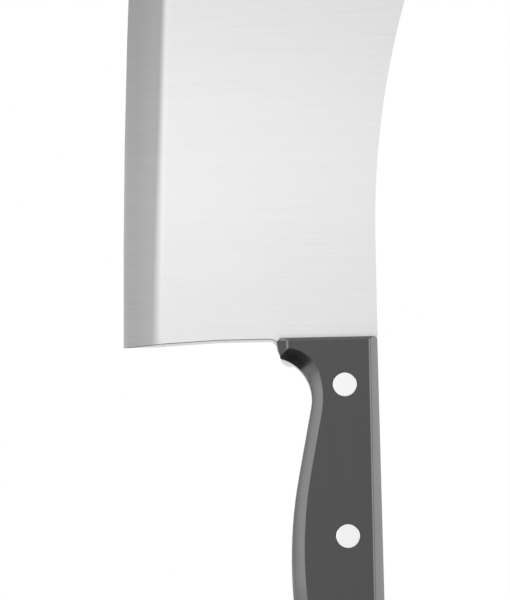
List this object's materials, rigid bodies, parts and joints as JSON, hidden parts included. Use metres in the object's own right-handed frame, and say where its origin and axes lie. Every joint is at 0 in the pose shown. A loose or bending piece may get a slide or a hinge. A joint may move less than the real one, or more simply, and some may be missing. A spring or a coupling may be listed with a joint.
{
  "type": "cleaver",
  "caption": "Full-tang kitchen cleaver with a broad flared blade, a ground edge and a faceted, riveted handle with a finger notch.",
  "frame": {"origin": "the middle rivet's axis, on the centre plane between the two scales", "axes": "+Z along the rivet line towards the blade's tip, +X towards the spine (the cutting edge is on -X), -Y out of the near side that the picture shows"},
  "size_m": [0.1146, 0.0202, 0.3129],
  "materials": {
    "blade_steel": "fine brushed grain, square to the edge",
    "handle_plastic": "satin moulded",
    "rivet_steel": "polished"
  },
  "bodies": {
    "root": {"blade": "blade_steel", "near_scale": "handle_plastic", "far_scale": "handle_plastic", "front_rivet_socket": "rivet_steel", "middle_rivet_socket": "rivet_steel", "rear_rivet_socket": "rivet_steel", "front_rivet_stud": "rivet_steel", "middle_rivet_stud": "rivet_steel", "rear_rivet_stud": "rivet_steel"}
  },
  "joints": []
}
